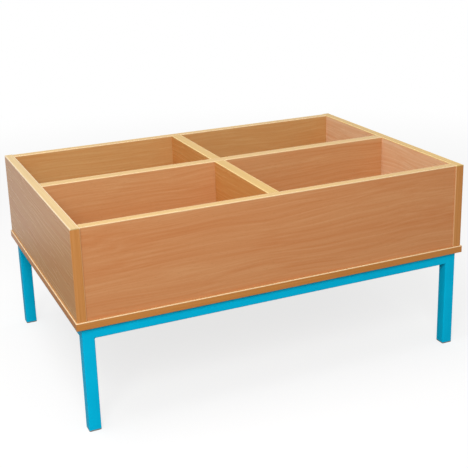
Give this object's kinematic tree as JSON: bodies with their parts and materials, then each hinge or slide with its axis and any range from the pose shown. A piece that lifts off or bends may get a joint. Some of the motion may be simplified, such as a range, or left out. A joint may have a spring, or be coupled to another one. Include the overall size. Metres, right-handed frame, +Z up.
{
  "type": "picture book browser bin",
  "caption": "Low open-topped bin of beech-faced board, split by crossed dividers into compartments for picture books, on a cyan square-tube steel frame.",
  "frame": {"origin": "on the floor, under the middle of the bin", "axes": "+X to the right along the width, +Y from the front to the back, +Z up"},
  "size_m": [1.006, 0.681, 0.483],
  "materials": {
    "beech_long": "satin beech foil on chipboard, grain along the width",
    "beech_deep": "satin beech foil on chipboard, grain along the depth",
    "rim_band": "satin pale beech edge band",
    "upright_band": "satin golden beech edge band",
    "base_band": "satin beech edge band",
    "cyan_coat": "satin powder coat on steel tube",
    "foot_plastic": "moulded grey plastic",
    "dowel_wood": "plain turned beech",
    "zinc_steel": "bright zinc plate"
  },
  "bodies": {
    "root": {"base_board": "beech_long", "front_panel": "beech_long", "back_panel": "beech_long", "long_divider": "beech_long", "left_end_panel": "beech_deep", "right_end_panel": "beech_deep", "short_divider": "beech_deep", "left_end_top_band": "rim_band", "right_end_top_band": "rim_band", "front_panel_top_band": "rim_band", "back_panel_top_band": "rim_band", "long_divider_top_band": "rim_band", "short_divider_front_top_band": "rim_band", "short_divider_back_top_band": "rim_band", "left_end_front_band": "upright_band", "left_end_back_band": "upright_band", "right_end_front_band": "upright_band", "right_end_back_band": "upright_band", "base_front_band": "base_band", "base_back_band": "base_band", "base_left_band": "base_band", "base_right_band": "base_band", "front_left_leg": "cyan_coat", "front_right_leg": "cyan_coat", "back_left_leg": "cyan_coat", "back_right_leg": "cyan_coat", "front_rail": "cyan_coat", "back_rail": "cyan_coat", "left_rail": "cyan_coat", "right_rail": "cyan_coat", "front_left_foot": "foot_plastic", "front_right_foot": "foot_plastic", "back_left_foot": "foot_plastic", "back_right_foot": "foot_plastic", "long_divider_left_low_dowel": "dowel_wood", "long_divider_right_low_dowel": "dowel_wood", "long_divider_left_high_dowel": "dowel_wood", "long_divider_right_high_dowel": "dowel_wood", "front_left_corner_low_dowel": "dowel_wood", "back_left_corner_low_dowel": "dowel_wood", "front_right_corner_low_dowel": "dowel_wood", "back_right_corner_low_dowel": "dowel_wood", "front_left_corner_high_dowel": "dowel_wood", "back_left_corner_high_dowel": "dowel_wood", "front_right_corner_high_dowel": "dowel_wood", "back_right_corner_high_dowel": "dowel_wood", "short_divider_front_low_dowel": "dowel_wood", "short_divider_back_low_dowel": "dowel_wood", "short_divider_front_high_dowel": "dowel_wood", "short_divider_back_high_dowel": "dowel_wood", "front_left_wall_screw": "zinc_steel", "front_right_wall_screw": "zinc_steel", "back_left_wall_screw": "zinc_steel", "back_right_wall_screw": "zinc_steel", "front_left_rail_screw": "zinc_steel", "front_right_rail_screw": "zinc_steel", "back_left_rail_screw": "zinc_steel", "back_right_rail_screw": "zinc_steel"}
  },
  "joints": []
}
